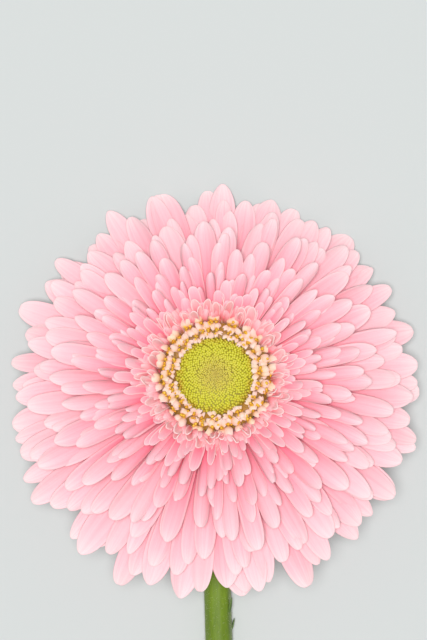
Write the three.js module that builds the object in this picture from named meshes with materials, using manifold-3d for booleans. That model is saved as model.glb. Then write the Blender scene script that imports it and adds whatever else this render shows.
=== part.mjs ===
// A cut double gerbera, laid on a table as the flower comes to rest: the stem lies along the
// surface, its neck bends up behind the head, and the lowest petals on the far side touch down.
// Millimetres and degrees. +Z is up, the stem runs towards -Y, and the origin is at the middle
// of the flower's footprint on the surface.
import * as THREE from "three";
import { mergeVertices } from "three/addons/utils/BufferGeometryUtils.js";
import Module from "manifold-3d";

const wasm = await Module();
wasm.setup();

// How the flower lies
const HEAD_Y = 117; // the middle of the receptacle's underside, along the stem's line
const HEAD_LEAN = 22; // the head's axis leans this far from upright, away from the stem
const STEM_END_Y = -163.7;

// The scape: a round stem, thicker towards the cut, with a bent neck
const NECK_RADIUS = 3.7;
const BASE_RADIUS = 4.5;
const NECK_BEND_RADIUS = 14;
const STEM_SWAY = 3;
const STEM_SIDES = 12;
const STEM_STATIONS = 16;
const NECK_STATIONS = 6;
const CUT_SLANT = 35; // the florist's cut, from square
const PITH_RADIUS = 1.7;
const PITH_DEPTH = 4;
// Small pointed scales on the stem: where each one's foot is, and how far round from +X
const STEM_SCALES = [
  { y: 46.5, turn: 28, length: 5 },
  { y: 41, turn: -8, length: 3.6 },
  { y: -58, turn: 150, length: 5.5 },
];

// The green cup of bracts under the head
const CUP_RADIUS = 15.6;
const CUP_DEPTH = 14;
const BRACT_ROWS = [
  { count: 11, bottom: -11.5, top: -5.6, width: 4.2 },
  { count: 13, bottom: -8.5, top: -3.0, width: 4.4 },
  { count: 15, bottom: -5.2, top: -0.9, width: 4.4 },
];

// The ray florets, numbered from the outermost inwards along one golden-angle spiral
const RAY_COUNT = 240;
const OUTER_RAYS = 72;
const MIDDLE_RAYS = 82;
// How far out the tips of each layer reach, from its first floret to its last
const LAYER_REACH = [
  [58, 47],
  [47, 31.5],
  [31.5, 20],
];
const REACH_BIAS = 0.035; // petals nearest the stem grow this share longer, the opposite ones shorter
const GOLDEN_ANGLE = 180 * (3 - Math.sqrt(5));
const BLADE_THICKNESS = 0.7;

// The fleshy receptacle, as the core that each colour of floret stands on
const CORE_PITCH = 2.65;
const CORE_HEIGHT = 2.3;
const CORE_RADIUS = 14.8;
const CORE_SIDES = 24;

// The open disc florets and the closed buds in the middle
const CROWN_BASE = 8;
const CROWN_HEIGHT = 1.5;
const OUTER_LIPS = { count: 36, inner: 13.3, outer: 13.95, lean: 47, length: 5.4, width: 2.4 };
const ANTHERS = { count: 30, inner: 11.9, outer: 12.45, lean: 64, length: 5.2, width: 0.9 };
const INNER_LIPS = { count: 32, inner: 10.75, outer: 11.25, lean: 76, length: 4, width: 1.7 };
const DISC_RADIUS = 10.35;
const DISC_BASE = 7.9;
const DISC_RIM = 10.3;
const DISC_CROWN = 1.9;
const BUD_RELIEF = 0.45;
const BUD_SECTORS = 48;
const BUD_RINGS = 11;

const PINK_PALE = 0xf9d9df;
const PINK_MIDDLE = 0xf8bccb;
const PINK_DEEP = 0xf49fb4;
const CREAM = 0xf8d8cb;
const GOLD = 0xd9a036;
const LIME = 0xbdbd33;
const GREEN_CUP = 0x7d9a4a;
const GREEN_STEM = 0x7c9440;

const radians = THREE.MathUtils.degToRad;
const mix = THREE.MathUtils.lerp;

// A draw from -1 to 1 that is always the same for one floret and one purpose.
function draw(index, purpose) {
  const x = Math.sin(index * 12.9898 + purpose * 78.233) * 43758.5453;
  return 2 * (x - Math.floor(x)) - 1;
}

// A closed surface through rings of points that run anticlockwise round the way of travel.
// The last ring may be a single point.
function loft(rings) {
  const sides = rings[0].length;
  const index = [];
  for (let k = 0; k + 1 < rings.length; k++) {
    const a = k * sides;
    const b = a + sides;
    for (let i = 0; i < sides; i++) {
      const j = (i + 1) % sides;
      if (rings[k + 1].length === 1) {
        index.push(a + i, a + j, b);
      } else {
        index.push(a + i, a + j, b + j, a + i, b + j, b + i);
      }
    }
  }
  const last = (rings.length - 1) * sides;
  for (let i = 1; i + 1 < sides; i++) {
    index.push(0, i + 1, i);
    if (rings.at(-1).length > 1) index.push(last, last + i, last + i + 1);
  }
  return new THREE.BufferGeometry().setFromPoints(rings.flat()).setIndex(index);
}

function solidOf(geometry) {
  const bare = new THREE.BufferGeometry()
    .setAttribute("position", geometry.getAttribute("position"))
    .setIndex(geometry.index);
  const merged = mergeVertices(bare, 1e-4);
  const mesh = { numProp: 3, vertProperties: merged.attributes.position.array };
  return new wasm.Manifold(new wasm.Mesh({ ...mesh, triVerts: new Uint32Array(merged.index.array) }));
}

// Pieces that have grown together into one body.
function join(geometries) {
  return geometries.map(solidOf).reduce((whole, piece) => whole.add(piece));
}

function geometryOf(solid) {
  const mesh = solid.getMesh();
  return new THREE.BufferGeometry()
    .setAttribute("position", new THREE.BufferAttribute(new Float32Array(mesh.vertProperties), 3))
    .setIndex(new THREE.BufferAttribute(new Uint32Array(mesh.triVerts), 1));
}

function part(name, geometry, color, roughness) {
  const material = new THREE.MeshStandardMaterial({ color, roughness, metalness: 0 });
  const mesh = new THREE.Mesh(geometry, material);
  mesh.name = name;
  return mesh;
}

// The line that a blade follows: an arc of steadily changing slope, in the upright plane
// through the head's axis. Slopes are angles above the plane of the receptacle.
function arcPoint(blade, s) {
  const start = radians(blade.startSlope);
  const turn = radians(blade.endSlope) - start;
  const slope = start + turn * s;
  return {
    out: blade.rootOut + (blade.length * (Math.sin(slope) - Math.sin(start))) / turn,
    up: blade.rootUp - (blade.length * (Math.cos(slope) - Math.cos(start))) / turn,
    slope,
  };
}

// A blade's rings: a right edge, a ridge, a left edge and an underside at each station.
// Its edges drop below its ridge, so the section is a shallow roof.
function bladeRings(blade, stations) {
  const azimuth = radians(blade.azimuth);
  const away = new THREE.Vector3(Math.cos(azimuth), Math.sin(azimuth), 0);
  const axis = new THREE.Vector3(0, 0, 1);
  const side = axis.clone().cross(away);
  const roll = radians(blade.roll ?? 0);
  return stations.map(([s, share]) => {
    const { out, up, slope } = arcPoint(blade, s);
    const upright = away.clone().multiplyScalar(-Math.sin(slope)).addScaledVector(axis, Math.cos(slope));
    const across = side.clone().multiplyScalar(Math.cos(roll)).addScaledVector(upright, Math.sin(roll));
    const over = upright.clone().multiplyScalar(Math.cos(roll)).addScaledVector(side, -Math.sin(roll));
    const middle = away.clone().multiplyScalar(out).addScaledVector(axis, up);
    middle.addScaledVector(side, (blade.sweep ?? 0) * s * s);
    if (share === 0) return [middle.addScaledVector(over, -(blade.drop ?? 0) * 0.4)];
    const half = (blade.width / 2) * share;
    const drop = (blade.drop ?? 0) * share;
    const thick = (blade.thickness ?? BLADE_THICKNESS) / 2;
    const at = (sideways, upwards) =>
      middle.clone().addScaledVector(across, sideways).addScaledVector(over, upwards);
    return [at(half, -drop), at(0, thick), at(-half, -drop), at(0, -thick)];
  });
}

// The head stands on its own axis; this carries it to where it lies.
const head = new THREE.Group();
head.rotation.x = -radians(HEAD_LEAN);
const neckDrop = NECK_BEND_RADIUS * (1 - Math.sin(radians(HEAD_LEAN)));
const neckLift = NECK_RADIUS * Math.cos(Math.PI / STEM_SIDES);
const cupBottomZ = neckLift + neckDrop;
head.position.set(0, HEAD_Y, cupBottomZ + CUP_DEPTH * Math.cos(radians(HEAD_LEAN)));
head.updateMatrixWorld(true);

// Petals
// f runs from 0 at the outermost ray floret to 1 at the innermost.
const BLADES = [
  [[0, 0.2], [0.36, 0.72], [0.72, 1], [0.92, 0.72], [1, 0]],
  [[0, 0.22], [0.5, 0.85], [0.86, 0.86], [1, 0]],
  [[0, 0.36], [0.45, 0.8], [0.86, 0.86], [1, 0]],
];

function rayFloret(index) {
  const f = index / (RAY_COUNT - 1);
  const layer = index < OUTER_RAYS ? 0 : index < OUTER_RAYS + MIDDLE_RAYS ? 1 : 2;
  const first = [0, OUTER_RAYS, OUTER_RAYS + MIDDLE_RAYS][layer];
  const count = [OUTER_RAYS, MIDDLE_RAYS, RAY_COUNT - OUTER_RAYS - MIDDLE_RAYS][layer];
  const g = (index - first) / (count - 1); // from 0 to 1 within its own layer
  const azimuth = index * GOLDEN_ANGLE;
  const [longest, shortest] = LAYER_REACH[layer];
  const reach = mix(longest, shortest, layer === 0 ? g ** 1.3 : g) * (1 - REACH_BIAS * Math.sin(radians(azimuth)));
  const blade = {
    azimuth,
    rootOut: CORE_RADIUS - [1.4, 0.8, 0.7][layer],
    rootUp: layer * CORE_PITCH + mix([0.7, 0.6, 0.7][layer], [1.7, 1.4, 1.7][layer], g),
    startSlope: [mix(-4, 10, g), mix(16, 30, g), mix(40, 58, g)][layer] + draw(index, 1),
    endSlope: [mix(-22, -8, g), mix(-4, 8, g), mix(17, 40, g)][layer] + 1.5 * draw(index, 2),
    width: 8.6 - 8.8 * f + 2.6 * f * f,
    roll: 6 * draw(index, 3),
    sweep: [1.6, 1, 0.4][layer] * draw(index, 4),
  };
  blade.drop = 0.13 * blade.width;
  const tip = reach * (1 + 0.035 * draw(index, 5));
  const turn = radians(blade.endSlope - blade.startSlope);
  blade.length =
    ((tip - blade.rootOut) * turn) / (Math.sin(radians(blade.endSlope)) - Math.sin(radians(blade.startSlope)));
  return liftedClear(blade, BLADES[layer]);
}

// Petals that would dip under the table bend up until their lowest point just rests on it.
function liftedClear(blade, stations) {
  for (;;) {
    const rings = bladeRings(blade, stations);
    const heights = rings.flat().map((point) => point.clone().applyMatrix4(head.matrixWorld).z);
    if (Math.min(...heights) >= 0) return rings;
    blade.startSlope += 0.02;
    blade.endSlope += 0.06;
  }
}

function core(layer) {
  const geometry = new THREE.CylinderGeometry(CORE_RADIUS, CORE_RADIUS, CORE_HEIGHT, CORE_SIDES);
  return geometry.rotateX(Math.PI / 2).translate(0, 0, layer * CORE_PITCH + CORE_HEIGHT / 2);
}

function rayLayer(name, layer, from, to, color) {
  const blades = [];
  for (let index = from; index < to; index++) blades.push(loft(rayFloret(index)));
  head.add(part(name, geometryOf(join([core(layer), ...blades])), color, 0.55));
}

rayLayer("outer_rays", 0, 0, OUTER_RAYS, PINK_PALE);
rayLayer("middle_rays", 1, OUTER_RAYS, OUTER_RAYS + MIDDLE_RAYS, PINK_MIDDLE);
rayLayer("inner_rays", 2, OUTER_RAYS + MIDDLE_RAYS, RAY_COUNT, PINK_DEEP);

// Open disc florets: a ring that the lobes, or the anther tubes, rise from
function ring(inner, outer) {
  const profile = [
    [inner, CROWN_BASE],
    [outer, CROWN_BASE],
    [outer, CROWN_BASE + CROWN_HEIGHT],
    [inner, CROWN_BASE + CROWN_HEIGHT],
    [inner, CROWN_BASE],
  ].map(([r, z]) => new THREE.Vector2(r, z));
  return new THREE.LatheGeometry(profile, CORE_SIDES).rotateX(Math.PI / 2);
}

function crown(name, kind, stations, thickness, color) {
  const pieces = [ring(kind.inner, kind.outer)];
  for (let index = 0; index < kind.count; index++) {
    pieces.push(
      loft(
        bladeRings(
          {
            azimuth: (360 / kind.count) * (index + 0.25 * draw(index, 6)),
            rootOut: (kind.inner + kind.outer) / 2,
            rootUp: CROWN_BASE + 0.6,
            startSlope: kind.lean + 12,
            endSlope: kind.lean - 12 + 2 * draw(index, 7),
            length: kind.length * (1 + 0.08 * draw(index, 8)),
            width: kind.width,
            thickness,
          },
          stations,
        ),
      ),
    );
  }
  head.add(part(name, geometryOf(join(pieces)), color, 0.6));
}

crown("outer_lips", OUTER_LIPS, [[0, 0.5], [0.5, 0.7], [0.85, 1], [1, 0]], 0.7, CREAM);
crown("anthers", ANTHERS, [[0, 1], [0.8, 1], [1, 0]], 0.7, GOLD);
crown("inner_lips", INNER_LIPS, [[0, 0.6], [0.8, 1], [1, 0]], 0.65, CREAM);

// The buds: a low dome whose grid points stand up and sink by turns, as the packed buds do,
// in rings that grow wider outwards.
function budDisc() {
  const points = [];
  const index = [];
  for (let ringNumber = 1; ringNumber <= BUD_RINGS; ringNumber++) {
    const r = DISC_RADIUS * (ringNumber / BUD_RINGS) ** 0.8;
    for (let sector = 0; sector < BUD_SECTORS; sector++) {
      const turn = (2 * Math.PI * (sector + ringNumber / 2)) / BUD_SECTORS;
      const bump = ringNumber < BUD_RINGS && sector % 2 === 0 ? BUD_RELIEF : 0;
      const z = DISC_RIM + DISC_CROWN * (1 - (r / DISC_RADIUS) ** 2) + bump * Math.min(1, r / 4);
      points.push(new THREE.Vector3(r * Math.cos(turn), r * Math.sin(turn), z));
    }
  }
  const top = points.push(new THREE.Vector3(0, 0, DISC_RIM + DISC_CROWN)) - 1;
  const foot = points.length;
  for (let sector = 0; sector < BUD_SECTORS; sector++) {
    const turn = (2 * Math.PI * (sector + BUD_RINGS / 2)) / BUD_SECTORS;
    const r = DISC_RADIUS - 0.3;
    points.push(new THREE.Vector3(r * Math.cos(turn), r * Math.sin(turn), DISC_BASE));
  }
  for (let sector = 0; sector < BUD_SECTORS; sector++) {
    const next = (sector + 1) % BUD_SECTORS;
    index.push(top, sector, next);
    for (let ringNumber = 0; ringNumber < BUD_RINGS - 1; ringNumber++) {
      const a = ringNumber * BUD_SECTORS;
      const b = a + BUD_SECTORS;
      index.push(a + sector, b + sector, a + next, a + next, b + sector, b + next);
    }
    const rim = (BUD_RINGS - 1) * BUD_SECTORS;
    index.push(rim + sector, foot + sector, rim + next, rim + next, foot + sector, foot + next);
    if (sector > 0 && next > 0) index.push(foot, foot + next, foot + sector);
  }
  return new THREE.BufferGeometry().setFromPoints(points).setIndex(index);
}

head.add(part("disc", budDisc(), LIME, 0.5));

// The cup of bracts: a solid green bowl with pointed scales that overlap upwards
function cupRadius(z) {
  const up = THREE.MathUtils.clamp((z + CUP_DEPTH) / CUP_DEPTH, 0, 1);
  return mix(NECK_RADIUS + 0.4, CUP_RADIUS, Math.sin((Math.PI / 2) * up) ** 0.8);
}

function bract(row, rowNumber, number) {
  const azimuth = radians((360 / row.count) * (number + rowNumber / 2) + 4 * draw(number, 9));
  const away = new THREE.Vector3(Math.cos(azimuth), Math.sin(azimuth), 0);
  const axis = new THREE.Vector3(0, 0, 1);
  const side = axis.clone().cross(away);
  const at = (z, sideways, proud) =>
    away.clone().multiplyScalar(cupRadius(z) + proud).addScaledVector(side, sideways).setZ(z);
  const middle = mix(row.bottom, row.top, 0.5);
  const half = row.width / 2;
  return loft([
    [at(row.bottom, -half * 0.6, -0.8), at(row.bottom, 0, 0), at(row.bottom, half * 0.6, -0.8)],
    [at(middle, -half, -0.5), at(middle, 0, 0.8), at(middle, half, -0.5)],
    [at(row.top, 0, 0.1)],
  ]);
}

function involucre() {
  const heights = [0, 0.06, 0.2, 0.42, 0.7, 1].map((share) => mix(-CUP_DEPTH, -0.35, share));
  const profile = heights.map((z) => new THREE.Vector2(cupRadius(z), z));
  profile.unshift(new THREE.Vector2(0, -CUP_DEPTH));
  profile.push(new THREE.Vector2(0, -0.35));
  const bowl = new THREE.LatheGeometry(profile, CORE_SIDES).rotateX(Math.PI / 2);
  const bracts = BRACT_ROWS.flatMap((row, rowNumber) =>
    Array.from({ length: row.count }, (_, number) => bract(row, rowNumber, number)),
  );
  return geometryOf(join([bowl, ...bracts]));
}

head.add(part("involucre", involucre(), GREEN_CUP, 0.7));

// The stem: round the neck's bend, then along the table, with its underside on the surface
function stemStation(point, travel, radius, turnedCut = 0) {
  const level = new THREE.Vector3(1, 0, 0);
  const upright = travel.clone().cross(level).normalize();
  const across = upright.clone().cross(travel).normalize();
  return Array.from({ length: STEM_SIDES }, (_, side) => {
    const turn = (2 * Math.PI * (side + 0.5)) / STEM_SIDES;
    const sideways = radius * Math.cos(turn);
    const upwards = radius * Math.sin(turn);
    return point
      .clone()
      .addScaledVector(across, sideways)
      .addScaledVector(upright, upwards)
      .addScaledVector(travel, turnedCut * upwards);
  });
}

const cupBottom = new THREE.Vector3(0, 0, -CUP_DEPTH - 0.3).applyMatrix4(head.matrixWorld);
const neckEndY = cupBottom.y - NECK_BEND_RADIUS * Math.cos(radians(HEAD_LEAN));

function stemRings() {
  const rings = [];
  const lean = radians(HEAD_LEAN);
  for (let k = 0; k < NECK_STATIONS; k++) {
    const turn = mix(lean, Math.PI / 2, k / NECK_STATIONS);
    const travel = new THREE.Vector3(0, -Math.sin(turn), -Math.cos(turn));
    const y = cupBottom.y + NECK_BEND_RADIUS * (Math.cos(turn) - Math.cos(lean));
    const z = cupBottom.z - NECK_BEND_RADIUS * (Math.sin(turn) - Math.sin(lean));
    rings.push(stemStation(new THREE.Vector3(0, y, z), travel, NECK_RADIUS));
  }
  for (let k = 0; k <= STEM_STATIONS; k++) {
    const { middle, radius } = stemAt(mix(neckEndY, STEM_END_Y, k / STEM_STATIONS));
    const slant = k === STEM_STATIONS ? Math.tan(radians(CUT_SLANT)) : 0;
    rings.push(stemStation(middle, new THREE.Vector3(0, -1, 0), radius, slant));
  }
  return rings;
}

// The middle of the stem and its radius where it lies at this y
function stemAt(y) {
  const share = (y - neckEndY) / (STEM_END_Y - neckEndY);
  const radius = mix(NECK_RADIUS, BASE_RADIUS, share);
  const x = STEM_SWAY * Math.sin(2 * Math.PI * share ** 2);
  return { middle: new THREE.Vector3(x, y, radius * Math.cos(Math.PI / STEM_SIDES)), radius };
}

// A scale grows from the stem and points at the flower, its tip standing a little free.
function stemScale({ y, turn, length }) {
  const away = new THREE.Vector3(Math.cos(radians(turn)), 0, Math.sin(radians(turn)));
  const side = new THREE.Vector3(0, 1, 0).cross(away);
  const at = (along, sideways, proud) => {
    const { middle, radius } = stemAt(y + along * length);
    return middle.addScaledVector(away, radius + proud).addScaledVector(side, sideways);
  };
  return loft([
    [at(0, 0.7, -0.8), at(0, 0, -1.6), at(0, -0.7, -0.8), at(0, 0, 0)],
    [at(0.45, 0.85, -0.1), at(0.45, 0, -1), at(0.45, -0.85, -0.1), at(0.45, 0, 0.7)],
    [at(1, 0, 0.6)],
  ]);
}

const pith = new THREE.CylinderGeometry(PITH_RADIUS * 0.7, PITH_RADIUS, 2 * PITH_DEPTH, 10);
pith.translate(0, STEM_END_Y, stemAt(STEM_END_Y).middle.z);
const scape = join([loft(stemRings()), ...STEM_SCALES.map(stemScale)]).subtract(solidOf(pith));

const stem = new THREE.Group();
stem.add(part("stem", geometryOf(scape), GREEN_STEM, 0.6));

const flower = new THREE.Group();
flower.add(head, stem);

export default flower;
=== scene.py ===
import bpy
from math import atan2, cos, floor, hypot, pi, radians, sin, sqrt, tan
from mathutils import Matrix, Vector


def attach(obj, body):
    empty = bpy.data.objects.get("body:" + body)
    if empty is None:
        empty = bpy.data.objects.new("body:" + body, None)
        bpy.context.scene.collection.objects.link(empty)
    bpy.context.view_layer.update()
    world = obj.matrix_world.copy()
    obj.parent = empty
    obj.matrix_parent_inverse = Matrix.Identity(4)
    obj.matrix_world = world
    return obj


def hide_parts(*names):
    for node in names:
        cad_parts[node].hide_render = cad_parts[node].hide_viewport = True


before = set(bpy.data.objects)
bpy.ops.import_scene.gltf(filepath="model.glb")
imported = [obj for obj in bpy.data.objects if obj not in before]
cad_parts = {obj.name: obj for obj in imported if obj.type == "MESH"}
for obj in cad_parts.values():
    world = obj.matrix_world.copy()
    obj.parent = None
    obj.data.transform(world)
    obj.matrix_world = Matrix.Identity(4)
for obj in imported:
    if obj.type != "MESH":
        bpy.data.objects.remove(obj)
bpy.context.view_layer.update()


# The scape
# The leafless flower stalk: green, faintly ribbed and a little thicker towards the florist's
# slanting cut, where the paler pith has shrunk back. It lies on the table and bends up at the neck.

MM = 0.001
HEAD_LEAN = radians(22)
CUP_DEPTH = 14 * MM
NECK_RADIUS = 3.7 * MM
NECK_SWELL = 0.16
BASE_RADIUS = 4.5 * MM
NECK_BEND = 14 * MM
NECK_RINGS = 11
STEM_END_Y = -163.7 * MM
STEM_SWAY = 3 * MM
STEM_RINGS = 60
STEM_SIDES = 36
CUT_SLANT = tan(radians(35))
FLAT = cos(pi / 12)  # how far down the flattened underside lies, as a share of the radius
RIBS = 9
RIB_DEPTH = 0.018  # this and the next are shares of the radius
RIB_INSET = 0.012

neck_foot = NECK_RADIUS * FLAT
head_place = Vector((0, 117 * MM, 0))
head_place.z = neck_foot + NECK_BEND * (1 - sin(HEAD_LEAN)) + CUP_DEPTH * cos(HEAD_LEAN)
head_turn = Matrix.Rotation(-HEAD_LEAN, 3, "X")
cup_bottom = head_place + head_turn @ Vector((0, 0, -CUP_DEPTH))
neck_end_y = cup_bottom.y - NECK_BEND * cos(HEAD_LEAN)


def at_head(point):
    """Carries a point of the upright head to where the head lies."""
    return head_place + head_turn @ Vector(point)


def stem_middle(y):
    """The middle of the lying stem at this y, and its radius there."""
    share = (y - neck_end_y) / (STEM_END_Y - neck_end_y)
    radius = NECK_RADIUS + (BASE_RADIUS - NECK_RADIUS) * share
    x = STEM_SWAY * sin(2 * pi * share * share)
    return Vector((x, y, radius * FLAT)), radius


def linear(code):
    """A colour's light values from its usual six-figure code."""
    parts = [int(code[k:k + 2], 16) / 255 for k in (0, 2, 4)]
    return tuple(c / 12.92 if c < 0.04045 else ((c + 0.055) / 1.055) ** 2.4 for c in parts) + (1,)


scene = bpy.context.scene


def placed(name, data):
    """A new object of the scene, at the origin."""
    made = bpy.data.objects.new(name, data)
    scene.collection.objects.link(made)
    return made


def piece_from(name, points, faces, material, smooth=True):
    mesh = bpy.data.meshes.new(name)
    mesh.from_pydata(points, [], faces)
    mesh.materials.append(material)
    if smooth:
        mesh.shade_smooth()
    return placed(name, mesh)


def arithmetic(operation, swapped=False):
    """The method of a wire that stands for one of the signs of arithmetic."""
    def work(self, other):
        return reckon(operation, other, self) if swapped else reckon(operation, self, other)
    return work


class Wire:
    """What a node puts out. Ordinary sums can be written with those that are numbers."""

    def __init__(self, socket):
        self.socket = socket

    __add__ = arithmetic("ADD")
    __sub__ = arithmetic("SUBTRACT")
    __rsub__ = arithmetic("SUBTRACT", swapped=True)
    __mul__ = arithmetic("MULTIPLY")
    __rmul__ = arithmetic("MULTIPLY", swapped=True)
    __truediv__ = arithmetic("DIVIDE")
    __rtruediv__ = arithmetic("DIVIDE", swapped=True)
    __pow__ = arithmetic("POWER")


def reckon(operation, *values):
    """One step of arithmetic on wires and plain numbers."""
    tree = next(v for v in values if isinstance(v, Wire)).socket.id_data
    return result(tree, "ShaderNodeMath", dict(enumerate(values)), operation=operation)


def feed(made, wires):
    """Gives a node its inputs, as plain values or as wires from other nodes."""
    for name, value in wires.items():
        if isinstance(value, Wire):
            made.id_data.links.new(value.socket, made.inputs[name])
        else:
            made.inputs[name].default_value = value


def node(tree, kind, wires=None, **settings):
    """One node of a tree, with its own settings and its inputs."""
    made = tree.nodes.new(kind)
    for name, value in settings.items():
        setattr(made, name, value)
    feed(made, wires or {})
    return made


def result(tree, kind, wires=None, **settings):
    """What a new node puts out first."""
    return Wire(node(tree, kind, wires, **settings).outputs[0])


def results(tree, kind, wires=None, **settings):
    """All that a new node puts out, by name."""
    return {socket.name: Wire(socket) for socket in node(tree, kind, wires, **settings).outputs}


def noise(tree, place, scale, detail, roughness=0.5):
    return result(tree, "ShaderNodeTexNoise", {
        "Vector": place, "Scale": scale, "Detail": detail, "Roughness": roughness,
    })


def spread(value, low, high, to_low, to_high):
    """Stretches a number's run from low to high over another run, and holds it at both ends."""
    return result(value.socket.id_data, "ShaderNodeMapRange", {
        "Value": value, "From Min": low, "From Max": high, "To Min": to_low, "To Max": to_high,
    })


def blend_colours(tree, share, first, second):
    blend = node(tree, "ShaderNodeMix", {"Factor": share, "A": first, "B": second}, data_type="RGBA")
    return Wire(blend.outputs["Result"])


def relief(tree, height, strength, distance):
    """A surface's normal, raised and sunk a little by this height."""
    return result(tree, "ShaderNodeBump", {"Height": height, "Strength": strength, "Distance": distance})


def object_place(tree):
    return results(tree, "ShaderNodeTexCoord")["Object"]


def new_material(name):
    """A fresh material, its tree and its surface shader."""
    material = bpy.data.materials.new(name)
    material.use_nodes = True
    tree = material.node_tree
    return material, tree, tree.nodes["Principled BSDF"]


def new_group(name, kind, inputs, outputs):
    """An empty tree of this kind, with named inputs and outputs.

    Each is of the sort that its value is. One without a value is given by the name of its sort.
    """
    tree = bpy.data.node_groups.new(name, kind)
    for side, sockets in (("INPUT", inputs), ("OUTPUT", outputs)):
        for label, value in sockets.items():
            if isinstance(value, str):
                sort = value
            elif isinstance(value, tuple):
                sort = "Color" if len(value) == 4 else "Vector"
            else:
                sort = "Int" if isinstance(value, int) else "Float"
            socket = tree.interface.new_socket(name=label, in_out=side, socket_type="NodeSocket" + sort)
            if not isinstance(value, str):
                socket.default_value = value
    return tree, results(tree, "NodeGroupInput"), node(tree, "NodeGroupOutput")


def plant_skin_group():
    """Mottled green tissue: two sizes of blotch for the colour, and fine cells for the relief."""
    tree, given, out = new_group("Plant skin", "ShaderNodeTree", {
        "Colour": (0.2, 0.3, 0.1, 1), "Darker": (0.1, 0.2, 0.05, 1), "Cell size": 0.4 * MM,
        "Stretch": (1, 1, 1),
    }, {"Colour": "Color", "Roughness": "Float", "Height": "Float"})
    drawn_out = result(tree, "ShaderNodeVectorMath", {
        0: object_place(tree), 1: given["Stretch"],
    }, operation="MULTIPLY")
    per_cell = 1.0 / given["Cell size"]
    cells = noise(tree, drawn_out, per_cell, 3.0)
    blotches = noise(tree, drawn_out, per_cell * 0.09, 4.0)
    share = spread(cells * 0.35 + blotches, 0.5, 0.85, 0.0, 1.0)
    feed(out, {
        "Colour": blend_colours(tree, share, given["Darker"], given["Colour"]),
        "Roughness": spread(cells, 0.0, 1.0, 0.42, 0.66),
        "Height": cells,
    })
    return tree


plant_skin = plant_skin_group()


def plant_material(name, colour, darker, cell, strength, glow, stretch=(1, 1, 1)):
    """A green or pale plant surface with mottling, fine relief and a little light under its skin."""
    material, tree, surface = new_material(name)
    skin = results(tree, "ShaderNodeGroup", {
        "Colour": linear(colour), "Darker": linear(darker), "Cell size": cell, "Stretch": stretch,
    }, node_tree=plant_skin)
    feed(surface, {
        "Base Color": skin["Colour"],
        "Roughness": skin["Roughness"],
        "Normal": relief(tree, skin["Height"], strength, 0.1 * MM),
        "Subsurface Weight": glow,
        "Subsurface Radius": (0.8, 1.0, 0.3),
        "Subsurface Scale": 0.6 * MM,
        "Sheen Weight": 0.12,
    })
    return material


stem_green = plant_material("Stem green", "728E14", "567008", 0.35 * MM, 0.5, 0.1, (1, 0.16, 1))
pith_pale = plant_material("Cut pith", "D5DDA6", "A9B96A", 0.25 * MM, 0.9, 0.2)


def stem_ring(middle, travel, radius, slant=0.0, ribbed=1.0):
    """A ring of points round the stem, ribbed, and pressed flat where it lies on the table."""
    upright = travel.cross(Vector((1, 0, 0))).normalized()
    across = upright.cross(travel).normalized()
    ring = []
    for side in range(STEM_SIDES):
        turn = 2 * pi * side / STEM_SIDES
        r = radius * (1 + RIB_DEPTH * ribbed * cos(RIBS * turn) - RIB_INSET * ribbed)
        lift = r * sin(turn)
        point = middle + across * r * cos(turn) + upright * lift + travel * slant * lift
        ring.append(Vector((point.x, point.y, max(point.z, 0))))
    return ring


ALONG = Vector((0, -1, 0))  # the way the stem runs on the table, from the neck to the cut


def stem_rings():
    """The stem's rings, round the neck's bend and then along the table to the cut."""
    rings = []
    for k in range(NECK_RINGS):
        turn = HEAD_LEAN + (pi / 2 - HEAD_LEAN) * k / NECK_RINGS
        travel = Vector((0, -sin(turn), -cos(turn)))
        middle = Vector((
            0,
            cup_bottom.y + NECK_BEND * (cos(turn) - cos(HEAD_LEAN)),
            cup_bottom.z - NECK_BEND * (sin(turn) - sin(HEAD_LEAN)),
        ))
        swell = 1 + NECK_SWELL * (1 - k / NECK_RINGS) ** 3  # the neck widens just under the cup
        rings.append(stem_ring(middle, travel, NECK_RADIUS * swell))
    for k in range(STEM_RINGS + 1):
        y = neck_end_y + (STEM_END_Y - neck_end_y) * k / STEM_RINGS
        middle, radius = stem_middle(y)
        rings.append(stem_ring(middle, ALONG, radius, CUT_SLANT if k == STEM_RINGS else 0.0))
    return rings


def tube_faces(rings, sides, first=0):
    faces = []
    for k in range(rings - 1):
        for i in range(sides):
            j = (i + 1) % sides
            a, b = first + k * sides, first + (k + 1) * sides
            faces.append((a + i, a + j, b + j, b + i))
    return faces


def closed_tube(rings, sides, first=0):
    """A tube's faces and the two flat ones that close its ends."""
    end = first + rings * sides
    caps = [tuple(reversed(range(first, first + sides))), tuple(range(end - sides, end))]
    return tube_faces(rings, sides, first) + caps


# The cut face, from the skin in: how wide each ring is and how far it has sunk
CUT_EDGES = ((0.93, 0.0), (0.72, 0.5), (0.45, 0.7), (0.36, 2.6), (0.2, 3.4))

rings = stem_rings()
cut_first = (len(rings) - 1) * STEM_SIDES
end, end_radius = stem_middle(STEM_END_Y)
for share, depth in CUT_EDGES:
    rim = stem_ring(end, ALONG, end_radius * share, CUT_SLANT, 0.3)
    rings.append([point - ALONG * depth * MM for point in rim])
points = [point for ring in rings for point in ring]
stem = piece_from("stem_scape", points, closed_tube(len(rings), STEM_SIDES), stem_green)
stem.data.materials.append(pith_pale)
for face in stem.data.polygons:
    if min(face.vertices) >= cut_first:
        face.material_index = 1
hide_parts("stem")
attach(stem, "root")


# The scales on the scape
# Three tiny pointed leaves, dark green, that grow straight from the stalk and lie along it with
# their tips towards the flower.

scale_green = plant_material("Stem scale green", "5E7A30", "3F5A1E", 0.3 * MM, 0.5, 0.1, (1, 0.3, 1))

# Where each one's foot is along the stem, how far round it stands and how long it is
STEM_SCALES = ((46.5, 28, 5.0), (41.0, -8, 3.6), (-58.0, 150, 5.5))

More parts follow.
